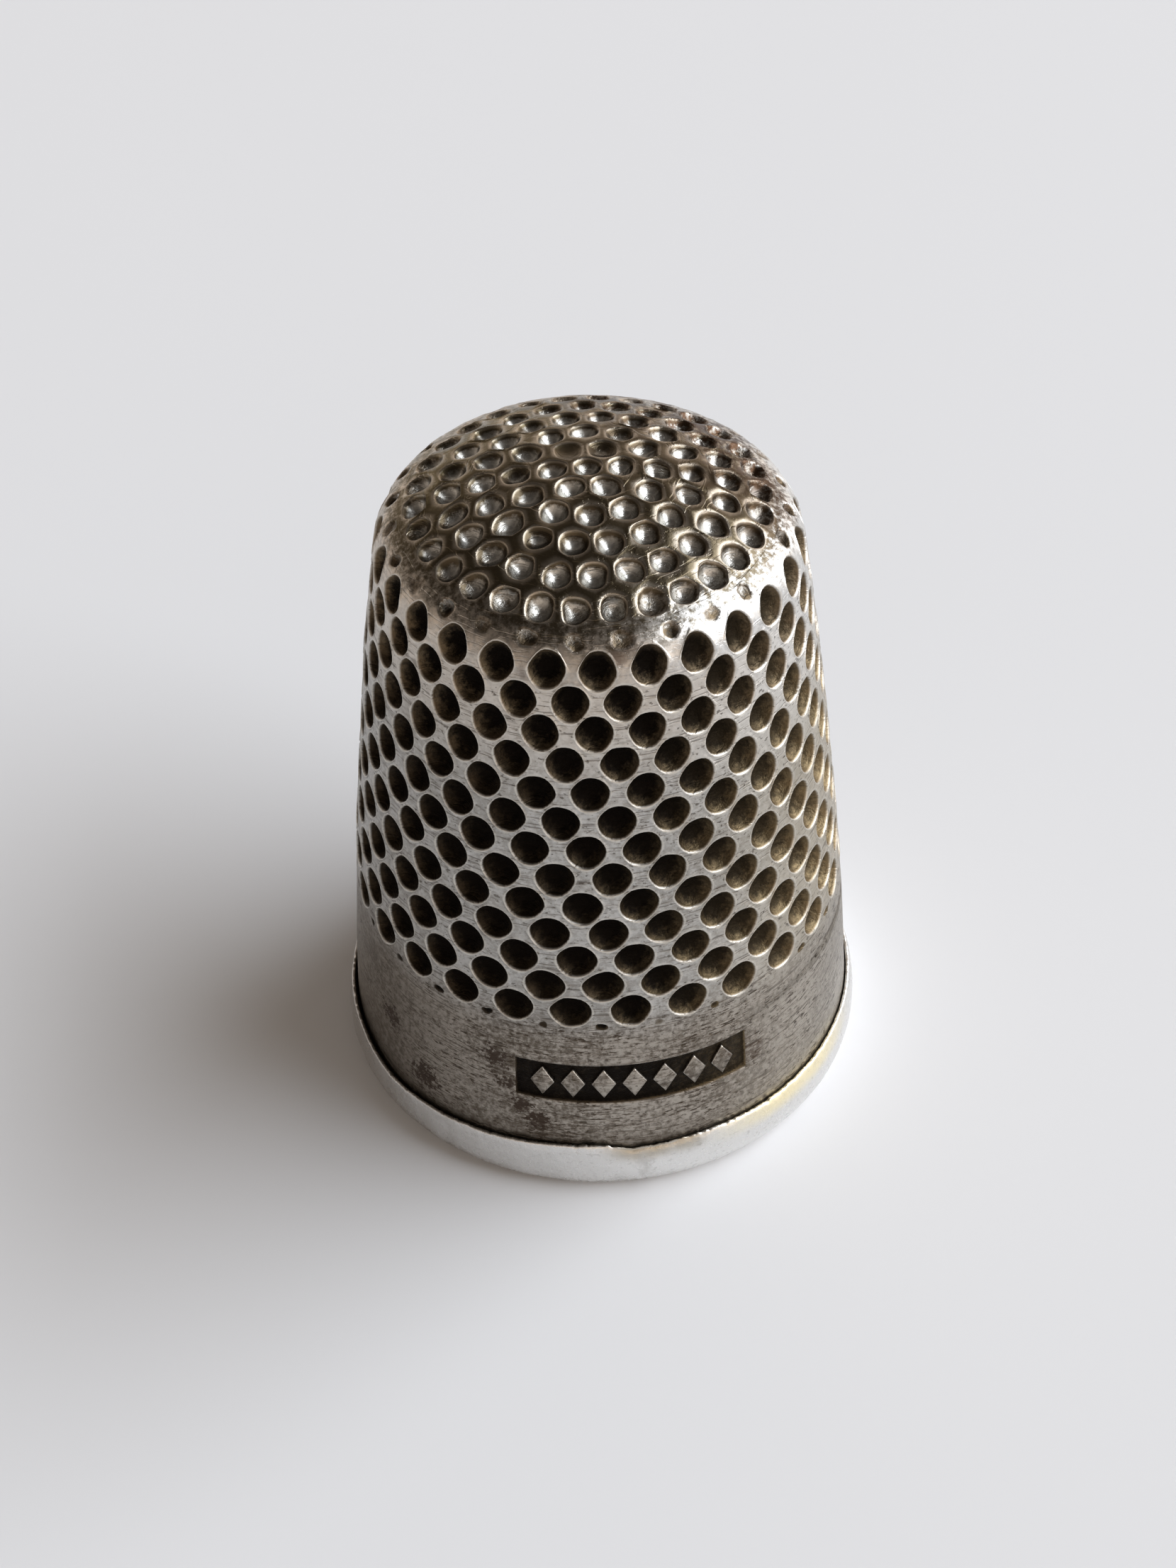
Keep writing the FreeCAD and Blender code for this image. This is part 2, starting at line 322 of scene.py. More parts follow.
dotPit = dict(sidePit, depth=0.08, fullDepth=0.09, depthVaries=0.4, bowl=((0.6, 0.7),),
              uneven=0.2, lip=0.0, lipWidth=0.04, landRing=False, shine=0.0)
crownPit = dict(sidePit, depth=0.36, fullDepth=0.72, depthVaries=0.16,
                bowl=((0.86, 0.25), (0.64, 0.57), (0.34, 0.88)),
                uneven=0.08, lip=0.042, lipWidth=0.045, ridge=0.03, landRing=False)
shellMasks = ("pitDepth", "lipWear", "crossing")
fieldLength = outline["sideLength"] + shell["topRowRise"] - shell["skirtBand"]
rowGap = fieldLength / (shell["rows"] - 1)
pitch = fullTurn / shell["perRow"]
panelTop = shell["panelLow"] + shell["panelHeight"]
panelMiddle = shell["panelLow"] + shell["panelHeight"] / 2
skirtColumns = 2 * shell["perEdge"] * shell["perRow"]


def rowUp(row):
    return shell["skirtBand"] + rowGap * row


def rowTurn(row, place):
    return math.radians(shell["firstAngle"]) + pitch * (place + shell["rowStep"] * row)


def shellRelief(turn, up):  # slow unevenness of the whole shell
    fade = np.clip(up / 1.5, 0, 1) * np.clip((outline["length"] - up) / 4, 0, 1)
    return ripples(turn, up, 9, 7, 0.02, 5) * fade


def addSideCells(gather, row, upper, lower, pit, halfWidth, halfHeight, offset):
    # upper and lower: "point" for a lattice corner, or the height of a straight edge
    here = rowTurn(row, np.arange(shell["perRow"]))
    up = rowUp(row)
    step = shell["rowStep"]
    n = shell["perEdge"]
    right = (here + pitch / 2, up)
    left = (here - pitch / 2, up)
    corners = [right]
    counts = []
    if upper == "point":
        corners += [(here + (2 * step - 1) * pitch / 2, up + rowGap)]
        counts += [n, n]
    else:
        corners += [(right[0], upper), (left[0], upper)]
        counts += [2, 2 * n, 2]
    corners += [left]
    if lower == "point":
        corners += [(here - (2 * step - 1) * pitch / 2, up - rowGap)]
        counts += [n, n]
    else:
        corners += [(left[0], lower), (right[0], lower)]
        counts += [2, 2 * n, 2]
    size = outlineAt(up)[0]
    aside, rise, stray = offset
    centreTurn = here + (aside + rng.normal(0, stray, len(here))) / size
    centreUp = up + rise + rng.normal(0, stray, len(here))
    flatCorners = [np.stack([(a - centreTurn) * size, b - centreUp], -1) for a, b in corners]
    edge = polygonEdge(np.stack(flatCorners, 1), counts)
    every = np.ones(len(here))
    pit = dict(pit, halfWidth=halfWidth * every, halfHeight=halfHeight * every)
    flat, lift, sunk, lips, faces = sinkPits(edge, pit)
    turn = centreTurn[:, None] + flat[..., 0] / size
    upAt = centreUp[:, None] + flat[..., 1]
    lift = lift + shellRelief(turn, upAt)
    crossing = np.zeros(lift.shape)
    start = 0
    for count in counts:  # dark flecks gather where four pits meet
        crossing[:, start] = 1.0
        start += count
    gather.add(onSurface(turn, upAt, lift), faces, pitDepth=sunk, lipWear=lips, crossing=crossing)


def crownSpots(ring):  # angle and arc distance from the pole
    if ring == 0:
        return np.zeros(1), np.zeros(1)
    radius = outline["crownRadius"]
    angle = math.radians(shell["crownAngle"]) + np.arange(6 * ring) * math.radians(60 / ring)
    arc = radius * math.asin(ring * shell["ringPitch"] / radius)
    return angle, np.full(6 * ring, arc)


def wrapPlace(ring, place):
    return (ring, place % (6 * ring)) if ring else (0, 0)


def crownNeighbours(ring, place):  # the six pits round one, anticlockwise, as (ring, place)
    if ring == 0:
        return [(1, k) for k in range(6)]
    sector, along = divmod(place, ring)
    outer = sector * (ring + 1) + along
    inner = sector * (ring - 1) + along
    if along == 0:
        around = [(ring, place - 1), (ring + 1, outer - 1), (ring + 1, outer), (ring + 1, outer + 1),
                  (ring, place + 1), (ring - 1, inner)]
    else:
        around = [(ring, place - 1), (ring + 1, outer), (ring + 1, outer + 1), (ring, place + 1),
                  (ring - 1, inner), (ring - 1, inner - 1)]
    return [wrapPlace(*each) for each in around]


def crownCells():  # a ring number, a middle and six corners for each pit
    spots = {}
    rings = shell["rings"]
    for ring in range(rings + 2):
        angle, arc = crownSpots(ring)
        for place in range(len(angle)):
            spots[ring, place] = arc[place] * np.array([math.cos(angle[place]), math.sin(angle[place])])
    edgeArc = crownSpots(rings)[1][0] + shell["crownEdge"]
    ringOf = []
    middles = []
    corners = []
    for ring in range(rings + 1):
        for place in range(max(1, 6 * ring)):
            here = spots[ring, place]
            around = crownNeighbours(ring, place)
            mine = []
            for k in range(6):
                a = around[k]
                b = around[(k + 1) % 6]
                corner = (here + spots[a] + spots[b]) / 3
                if max(a[0], b[0]) > rings:
                    corner = corner * edgeArc / np.linalg.norm(corner)
                mine.append(corner)
            ringOf.append(ring)
            middles.append(here)
            corners.append(mine)
    return np.array(ringOf), np.array(middles), np.array(corners), edgeArc


def addCrownCells(gather):
    ringOf, middles, corners, edgeArc = crownCells()
    size = len(middles)
    middles = middles + rng.normal(0, shell["crownStray"], (size, 2))
    edge = polygonEdge(corners, [shell["crownPerEdge"]] * 6)
    reach = np.linalg.norm(edge, axis=-1)
    onRim = (ringOf == shell["rings"])[:, None] & (reach > edgeArc - 0.06)
    edge[onRim] = edge[onRim] * (edgeArc / reach[onRim])[:, None]  # the outer edge is a true circle
    half = shell["crownHalfWidth"] * (1 + rng.normal(0, 0.04, size))
    half = np.where(ringOf == 0, half * 0.95, half)
    pit = dict(crownPit, halfWidth=half, halfHeight=half * (1 + rng.normal(0, 0.03, size)))
    flat, lift, sunk, lips, faces = sinkPits(edge - middles[:, None], pit, 1.0 - onRim)
    flat = flat + middles[:, None]
    turn = np.arctan2(flat[..., 1], flat[..., 0]) + math.pi / 2
    up = outline["length"] - np.linalg.norm(flat, axis=-1)
    lift = lift + shellRelief(turn, up)
    gather.add(onSurface(turn, up, lift), faces, pitDepth=sunk, lipWear=lips)
    rim = edge[onRim]
    rimTurn = (np.arctan2(rim[:, 1], rim[:, 0]) + math.pi / 2) % fullTurn
    return np.unique(np.round(rimTurn, 5)), edgeArc


def columnTurns(total):  # columns gather at the panel's ends
    span = shell["panelWidth"] / outlineAt(panelMiddle)[0]
    soft = shell["panelSoft"] / 9
    low = math.radians(shell["panelAngle"]) - span / 2
    high = low + span
    inside = np.linspace(low + soft, high - soft, shell["panelColumns"])
    marks = [[low - 3 * soft, low - soft, low], inside, [high, high + soft, high + 3 * soft]]
    marks = np.concatenate(marks)
    rest = total - len(marks)
    outside = np.linspace(high + 3 * soft, low - 3 * soft + fullTurn, rest + 2)[1:-1]
    return np.concatenate([marks, outside]), low, high


def panelRows(topUp):  # rows gather at the panel's upper and lower edges
    soft = shell["panelSoft"]
    low = shell["panelLow"]
    return np.concatenate([
        np.linspace(topUp, panelTop + 3 * soft, 8),
        [panelTop + soft, panelTop, panelTop - soft],
        np.linspace(panelTop - 3 * soft, low + 3 * soft, 6),
        [low + soft, low, low - soft, low - 3 * soft],
        np.linspace(low - 0.5, shell["skirtFoot"], 9),
    ])


def addSkirt(gather, topUp):
    total = skirtColumns
    soft = shell["panelSoft"]
    packed, low, high = columnTurns(total)
    even = rowTurn(-1, 0) - pitch / 2 + np.arange(total) * fullTurn / total
    even = np.roll(even, -int(np.argmin(np.abs(even - packed[0]))))
    even = np.where(even < even[0] - 1e-9, even + fullTurn, even)
    ups = panelRows(topUp)
    share = np.clip((topUp - ups) / (topUp - panelTop - 3 * soft), 0, 1)
    share = share * share * (3 - 2 * share)
    turn = even[None, :] * (1 - share[:, None]) + packed[None, :] * share[:, None]
    up = np.broadcast_to(ups[:, None], turn.shape)
    within = (packed > low + soft / 18) & (packed < high - soft / 18)
    sunk = within[None, :] & (up < panelTop - soft / 2) & (up > shell["panelLow"] + soft / 2)
    lift = shellRelief(turn, up) - shell["panelDepth"] * sunk
    mask = (sunk * shell["panelMask"]).ravel()
    gather.add(onSurface(turn, up, lift), gridFaces(len(ups), total), pitDepth=mask)
    addInside(gather, turn[-1])


def addInside(gather, last):  # round the hidden lower edge, then up the plain inside
    o = outline
    total = len(last)
    outer, top, _ = outlineAt(shell["skirtFoot"])
    inner = outlineAt(shell["skirtFoot"], o["shellWall"])[0]
    wall = o["liningWall"]
    edgeRound = o["edgeRound"]
    hidden = [(float(outer), float(top))]
    for k in range(5):
        a = math.pi / 2 * k / 4
        hidden.append((float(outer) - edgeRound * (1 - math.cos(a)), wall + edgeRound * (1 - math.sin(a))))
    for k in range(5):
        a = math.pi / 2 * (1 - k / 4)
        hidden.append((float(inner) + edgeRound * (1 - math.cos(a)), wall + edgeRound * (1 - math.sin(a))))
    hidden = np.array(hidden)
    r = hidden[:, :1]
    z = np.repeat(hidden[:, 1:], total, 1)
    edge = np.stack([r * np.sin(last), -r * np.cos(last), z], -1)
    gather.add(edge, gridFaces(len(hidden), total))
    coarse = shell["insideColumns"]
    turn = last[0] + np.arange(coarse) * fullTurn / coarse
    ups = np.concatenate([
        np.linspace(-1.2, o["sideLength"], 9),
        np.linspace(o["sideLength"] + 0.4, o["shoulderTop"], 3),
        np.linspace(o["length"] - 5.5, o["length"] - 0.8, 6),
    ])
    inside = onSurface(turn[None, :], ups[:, None], 0.0, o["shellWall"])
    gather.add(np.concatenate([edge[-1], inside[0]]), stitchFaces(last, turn))
    gather.add(inside, gridFaces(len(ups), coarse))
    pole = np.array([[0, 0, o["height"] - o["shellWall"]]])
    gather.add(np.concatenate([inside[-1], pole]), fanFaces(0, coarse, coarse))


def addBand(gather, top, crownTurn, crownUp):  # the smooth band between the faint row and the crown's pits
    turn = rowTurn(shell["rows"], 0) - pitch / 2 + np.arange(skirtColumns) * fullTurn / skirtColumns
    ups = np.linspace(top, crownUp, 5)[:, None]
    band = onSurface(turn, ups, shellRelief(turn, ups))
    gather.add(band[:-1], gridFaces(len(ups) - 1, skirtColumns))
    crownTurn = np.sort(turn[0] + (crownTurn - turn[0]) % fullTurn)
    crownEdge = onSurface(crownTurn, crownUp, shellRelief(crownTurn, crownUp))
    gather.add(np.concatenate([band[-2], crownEdge]), stitchFaces(turn, crownTurn))


def addLozenges(gather):  # a row of bevelled lozenges standing in the sunk panel
    s = shell
    size = outlineAt(panelMiddle)[0]
    span = s["panelWidth"] - 2 * s["lozengeMargin"]
    step = span / s["lozengeCount"]
    half = (s["lozengeWidth"] / 2, s["lozengeHeight"] / 2)
    shape = np.array([(0, 1), (-1, 0), (0, -1), (1, 0)], float) * half
    for number in range(s["lozengeCount"]):
        middle = math.radians(s["panelAngle"]) + (-span / 2 + step * (number + 0.5)) / size
        rings = []
        wear = []
        for share, lift, bright in s["lozengeRings"]:
            flat = polygonEdge((shape * share)[None], [s["perEdge"]] * 4)[0]
            rings.append(onSurface(middle + flat[:, 0] / size, panelMiddle + flat[:, 1], lift))
            wear.append(bright)
        count = len(rings[0])
        lowest = s["lozengeRings"][0][1]
        ends = [onSurface(middle, panelMiddle, lift)[None] for lift in (s["lozengeTop"], lowest)]
        top = len(rings) * count
        faces = gridFaces(len(rings), count) + fanFaces(top - count, count, top)
        faces += [(after, k, top + 1) for k, after, _ in fanFaces(0, count, top)]
        wear = np.append(np.repeat(wear, count), [0.5, 0.0])
        gather.add(np.concatenate(rings + ends), faces, lipWear=wear)


def makeShell():
    s = shell
    gather = Gather(shellMasks)
    foot = rowUp(0) - s["dotFoot"]
    top = rowUp(s["rows"] - 1) + s["faintTop"]
    dotAside = (s["rowStep"] - 0.5) * pitch * outlineAt(rowUp(-1))[0]
    dotSize = s["dotSize"][0] + s["dotSize"][1] * rng.random(s["perRow"])
    addSideCells(gather, -1, "point", foot, dotPit, dotSize, s["dotHalfHeight"],
                 (dotAside, rowGap - s["dotDrop"], s["dotStray"]))
    for row in range(s["rows"]):
        grow = 1 + s["topGrows"] * max(0, row - s["rows"] + s["growingRows"]) / s["growingRows"]
        halfWidth = s["pitWidthShare"] * outlineAt(rowUp(row))[0] * grow
        addSideCells(gather, row, "point", "point", sidePit, halfWidth, s["pitHalfHeight"] * grow,
                     (0, 0, s["pitStray"]))
    draw = np.random.default_rng(11)
    faintSize = s["faintSize"][0] + s["faintSize"][1] * draw.random(s["perRow"])
    addSideCells(gather, s["rows"], top, "point", faintPit, faintSize, faintSize * s["faintTall"],
                 (0, s["faintRise"] - rowGap, s["faintStray"]))
    crownTurn, edgeArc = addCrownCells(gather)
    addBand(gather, top, crownTurn, outline["length"] - edgeArc)
    addSkirt(gather, foot)
    addLozenges(gather)
    return gather.build("outerShell")


shellPiece = makeShell()
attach(shellPiece, "root")
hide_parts("outer_shell")


# the lining: a thin cup whose edge is rolled out and up round the shell's edge
lining = {
    "columns": 720,  # the lip's ragged edge needs them
    "rollRadius": 0.8, "mouthRound": 0.26, "lipThickness": 0.14, "lipGap": 0.055,
    "lipProfile": (  # share of the thickness, extra, depth below the top, push, lift
        (0, -0.02, 0.5, 0.0, 0.0), (0, 0.0, 0.2, 0.2, 0.6), (0, 0.0, 0.06, 0.3, 1.0),
        (0, 0.02, 0.015, 0.3, 1.0), (0.5, 0.0, 0.0, 0.3, 1.0), (1, -0.03, 0.02, 0.4, 1.0),
        (1, 0.0, 0.07, 0.5, 0.9)),
    "bandRows": 13, "bandTop": 0.1, "ragged": 0.014,
    "lipTurns": (-75, -56, -41, -25, -15, -4, 0, 4, 12, 20, 27, 38, 53, 75),  # degrees from the front
    "lipRises": (0.0, -0.28, -0.12, 0.04, 0.14, 0.22, 0.19, -0.03, 0.0, 0.05, 0.05, 0.0, 0.03, 0.0),
    "ledgeTurn": 9.0, "ledgeSpan": 9.0, "ledgeSink": 0.07,
    "openTurn": -60,  # the gap behind the lip is widest here
    "openSpan": 35, "openGap": 0.09,
    "dents": ((12, 40, 0.012, 3), (6, 5, 0.012, 4)),  # count, finest, size and seed of the ripples
    "lipRipples": (24, 200, 0.014, 8),
}


def quarterTurn(steps, first=1):  # angles of a quarter round, in even steps
    return [math.pi / 2 * k / steps for k in range(first, steps + 1)]


def liningProfile():  # rows of (r, z, push, lift), down the outside and up the inside
    o = outline
    s = lining
    wall = o["liningWall"]
    edgeRound = o["edgeRound"]
    outset = o["shellWall"] + o["gap"]
    top = o["lipHeight"]
    roundZ = wall + edgeRound
    rows = []

    def row(r, z, push=0.0, lifted=0.0):
        rows.append((r, z, push, lifted))

    def cup(inset, ups):
        for up in ups:
            r, z, _ = outlineAt(up, inset)
            row(float(r), float(z))

    crownUps = list(np.linspace(o["length"] - 0.5, o["length"] - 6.0, 6))
    shoulderUps = list(np.linspace(o["shoulderTop"], o["sideLength"], 6))
    sideUps = list(np.linspace(o["sideLength"] - 0.8, roundZ - top, 14))
    cup(outset, crownUps + shoulderUps + sideUps)
    grooveIn = float(outlineAt(roundZ - top, outset)[0])
    grooveOut = float(outlineAt(roundZ - top)[0]) + o["gap"]
    for a in quarterTurn(3):
        row(grooveIn + edgeRound * (1 - math.cos(a)), roundZ - edgeRound * math.sin(a))
    for a in reversed(quarterTurn(3, 0)):
        row(grooveOut - edgeRound * (1 - math.cos(a)), roundZ - edgeRound * math.sin(a))
    lipIn = float(outlineAt(0.0)[0]) + s["lipGap"]
    lipOut = lipIn + s["lipThickness"]
    for share, extra, below, push, lifted in s["lipProfile"]:
        row(lipIn + share * s["lipThickness"] + extra, top - below, push, lifted)
    widest = grooveOut + wall
    fall = widest - lipOut
    rise = top - s["rollRadius"]
    bandRadius = (fall**2 + rise**2) / (2 * fall)
    for k in range(1, s["bandRows"] + 1):
        share = k / s["bandRows"]
        z = top - s["bandTop"] - (rise - s["bandTop"]) * share
        r = widest - bandRadius + math.sqrt(bandRadius**2 - (z - s["rollRadius"])**2)
        row(r, z, 0.5 + 0.5 * share, 0.8 * (1 - share))
    for k, a in enumerate(quarterTurn(8)):
        push = 1.0 - (k + 1) / 8
        row(widest - s["rollRadius"] * (1 - math.cos(a)), s["rollRadius"] * (1 - math.sin(a)), push)
    mouth = float(outlineAt(s["mouthRound"] - top, outset + wall)[0])
    for a in quarterTurn(6, 0):
        row(mouth + s["mouthRound"] * (1 - math.sin(a)), s["mouthRound"] * (1 - math.cos(a)))
    insideUps = list(np.linspace(s["mouthRound"] - top + 0.3, o["sideLength"], 30))
    cup(outset + wall, insideUps + shoulderUps[-2::-1] + crownUps[::-1])
    return np.array(rows), outset


def makeLining():
    s = lining
    n = s["columns"]
    rows, outset = liningProfile()
    around = np.arange(n) * fullTurn / n
    fromFront = np.degrees((around + math.pi) % fullTurn - math.pi)
    dents = sum(ripples(around, 0.0, *values) for values in s["dents"])
    wave = np.interp(fromFront, s["lipTurns"], s["lipRises"])
    lift = ripples(around, 0.0, *s["lipRipples"]) + wave
    lift = lift + np.random.default_rng(6).normal(0, s["ragged"], n)
    ledge = np.exp(-((fromFront - s["ledgeTurn"]) / s["ledgeSpan"])**2) * s["ledgeSink"]
    openGap = np.exp(-((fromFront - s["openTurn"]) / s["openSpan"])**2) * s["openGap"]
    r, z, push, lifted = (column[:, None] for column in rows.T)
    r = r + push * dents + lifted**2 * (openGap - ledge * (push > 0.35))
    z = z + lifted * lift
    points = np.stack([r * np.sin(around), -r * np.cos(around), z], -1)
    gather = Gather(("lip",))
    gather.add(points, gridFaces(len(rows), n), lip=np.repeat(rows[:, 3], n))
    for ring, inset in ((points[0], outset), (points[-1], outset + outline["liningWall"])):
        pole = np.array([[0, 0, outline["height"] - inset]])
        gather.add(np.concatenate([ring, pole]), fanFaces(0, n, n))
    return gather.build("lining")


liningPiece = makeLining()
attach(liningPiece, "root")
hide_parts("lining_cup")


class Graph:  # short calls for making and joining nodes
    def __init__(self, tree):
        self.tree = tree

    def node(self, kind, values=(), **settings):
        made = self.tree.nodes.new(kind)
        for name, value in settings.items():
            setattr(made, name, value)
        for key, value in dict(values).items():
            self.join(value, made.inputs[key])
        return made

    def join(self, value, socket):
        if isinstance(value, bpy.types.NodeSocket):
            self.tree.links.new(value, socket)
        elif isinstance(value, bpy.types.Node):
            self.tree.links.new(value.outputs[0], socket)
        else:
            socket.default_value = value

    def maths(self, operation, a, b=0.0):
        return self.node("ShaderNodeMath", {0: a, 1: b}, operation=operation).outputs[0]

    def times(self, a, b):
        return self.maths("MULTIPLY", a, b)

    def plus(self, a, b):
        return self.maths("ADD", a, b)

    def spread(self, value, band, to=(0.0, 1.0)):  # a soft step: the band becomes 0 to 1
        made = self.node("ShaderNodeMapRange", {0: value, 1: band[0], 2: band[1], 3: to[0], 4: to[1]},
                         interpolation_type="SMOOTHSTEP")
        return made.outputs[0]

    def fade(self, value, band, amount):  # a soft step that only goes up to the amount
        return self.times(self.spread(value, band), amount)

    def blend(self, share, a, b):
        return self.node("ShaderNodeMix", {0: share, 6: a, 7: b}, data_type="RGBA").outputs[2]

    def noise(self, place, scale, detail=4.0, rough=0.55, stretch=(1, 1, 1), turn=(0, 0, 0)):
        moved = self.node("ShaderNodeMapping", {"Vector": place, "Scale": stretch, "Rotation": turn})
        values = {"Vector": moved, "Scale": scale, "Detail": detail, "Roughness": rough}
        return self.node("ShaderNodeTexNoise", values).outputs[0]

    def mask(self, name):  # a value kept on the mesh's points
        return self.node("ShaderNodeAttribute", attribute_name=name).outputs["Fac"]


def makeGroup(name, outputs):  # every group takes the place on the piece and gives values
    tree = bpy.data.node_groups.new(name, "ShaderNodeTree")
    tree.interface.new_socket("Place", in_out="INPUT", socket_type="NodeSocketVector")
    for label in outputs:
        tree.interface.new_socket(label, in_out="OUTPUT", socket_type="NodeSocketFloat")
    place = tree.nodes.new("NodeGroupInput").outputs["Place"]
    return Graph(tree), place, tree.nodes.new("NodeGroupOutput").inputs


def useGroup(graph, name, place):
    made = graph.node("ShaderNodeGroup")
    made.node_tree = bpy.data.node_groups[name]
    graph.join(place, made.inputs["Place"])
    return made.outputs


def newMaterial(name, piece):
    material = bpy.data.materials.new(name)
    material.use_nodes = True
    material.node_tree.nodes.clear()
    graph = Graph(material.node_tree)
    shader = graph.node("ShaderNodeBsdfPrincipled")
    graph.node("ShaderNodeOutputMaterial", {"Surface": shader})
    piece.data.materials.append(material)
    return graph, shader.inputs


# each noise is scale, detail, roughness, stretch and turn, and each band is where its mask fades in
scratches = {
    "dashes": (2400.0, 3.0, 0.7, (1.0, 1.0, 3.6), (0.03, 0.02, 0.0)), "dashBand": (0.575, 0.625),
    "slanted": (2300.0, 1.0, 0.5, (1.0, 1.0, 6.0), (0.42, 0.35, 0.2)), "slantedBand": (0.63, 0.67),
    "patches": (500.0, 4.0, 0.7), "patchBand": (0.40, 0.56),
    "level": (1500.0, 2.0, 0.5, (0.28, 0.28, 9.0), (-0.04, 0.05, 0.3)), "levelBand": (0.60, 0.66),
    "steep": (1500.0, 1.0, 0.5, (0.4, 0.4, 8.0), (0.62, 0.5, 0.1)), "steepBand": (0.66, 0.70),
}
grain = {
    "broad": (260.0, 5.0, 0.6), "broadShare": 0.4, "fine": (4800.0, 4.0, 0.7), "fineShare": 0.6,
    "specks": (5200.0, 2.0, 0.5, (1, 1, 1.6)), "speckBand": (0.60, 0.70), "stain": (420.0, 6.0, 0.65),
    "stainBand": (0.54, 0.7), "broken": (5200.0, 4.0, 0.75), "brokenShare": 0.3,
    "brokenBand": (0.64, 0.76),
}


def makeScratches():  # short dashes round the piece, slanted ones, a few long lines
    g, place, out = makeGroup("scratches", ("Dashes", "Lines"))
    s = scratches
    dashes = g.spread(g.noise(place, *s["dashes"]), s["dashBand"])
    slanted = g.spread(g.noise(place, *s["slanted"]), s["slantedBand"])
    patches = g.spread(g.noise(place, *s["patches"]), s["patchBand"])
    g.join(g.times(g.maths("MAXIMUM", dashes, slanted), patches), out["Dashes"])
    level = g.spread(g.noise(place, *s["level"]), s["levelBand"])
    steep = g.spread(g.noise(place, *s["steep"]), s["steepBand"])
    g.join(g.maths("MAXIMUM", level, steep), out["Lines"])


def makeWornMetal():  # mottled tone, small dark specks and broad stains
    g, place, out = makeGroup("wornSteel", ("Mottle", "Specks", "Stain"))
    broad = g.times(g.noise(place, *grain["broad"]), grain["broadShare"])
    fine = g.times(g.noise(place, *grain["fine"]), grain["fineShare"])
    g.join(g.plus(broad, fine), out["Mottle"])
    g.join(g.spread(g.noise(place, *grain["specks"]), grain["speckBand"]), out["Specks"])
    g.join(g.spread(g.noise(place, *grain["stain"]), grain["stainBand"]), out["Stain"])


def makePatches(name, spots, broken):  # patches round spots: degrees from the front, height, size
    g, place, out = makeGroup(name, ("Mask",))
    total = 0.0
    for degrees, z, size in spots:
        spot = [float(v) * mm for v in onSurface(math.radians(degrees), z - outline["lipHeight"])]
        away = g.node("ShaderNodeVectorMath", {0: place, 1: spot}, operation="DISTANCE").outputs["Value"]
        near = g.spread(away, (size * mm, 0.0))
        total = g.maths("MAXIMUM", total, near)
    if broken:  # with a ragged edge
        ragged = g.plus(g.times(total, grain["brokenShare"]), g.noise(place, *grain["broken"]))
        total = g.spread(ragged, grain["brokenBand"])
    g.join(total, out["Mask"])


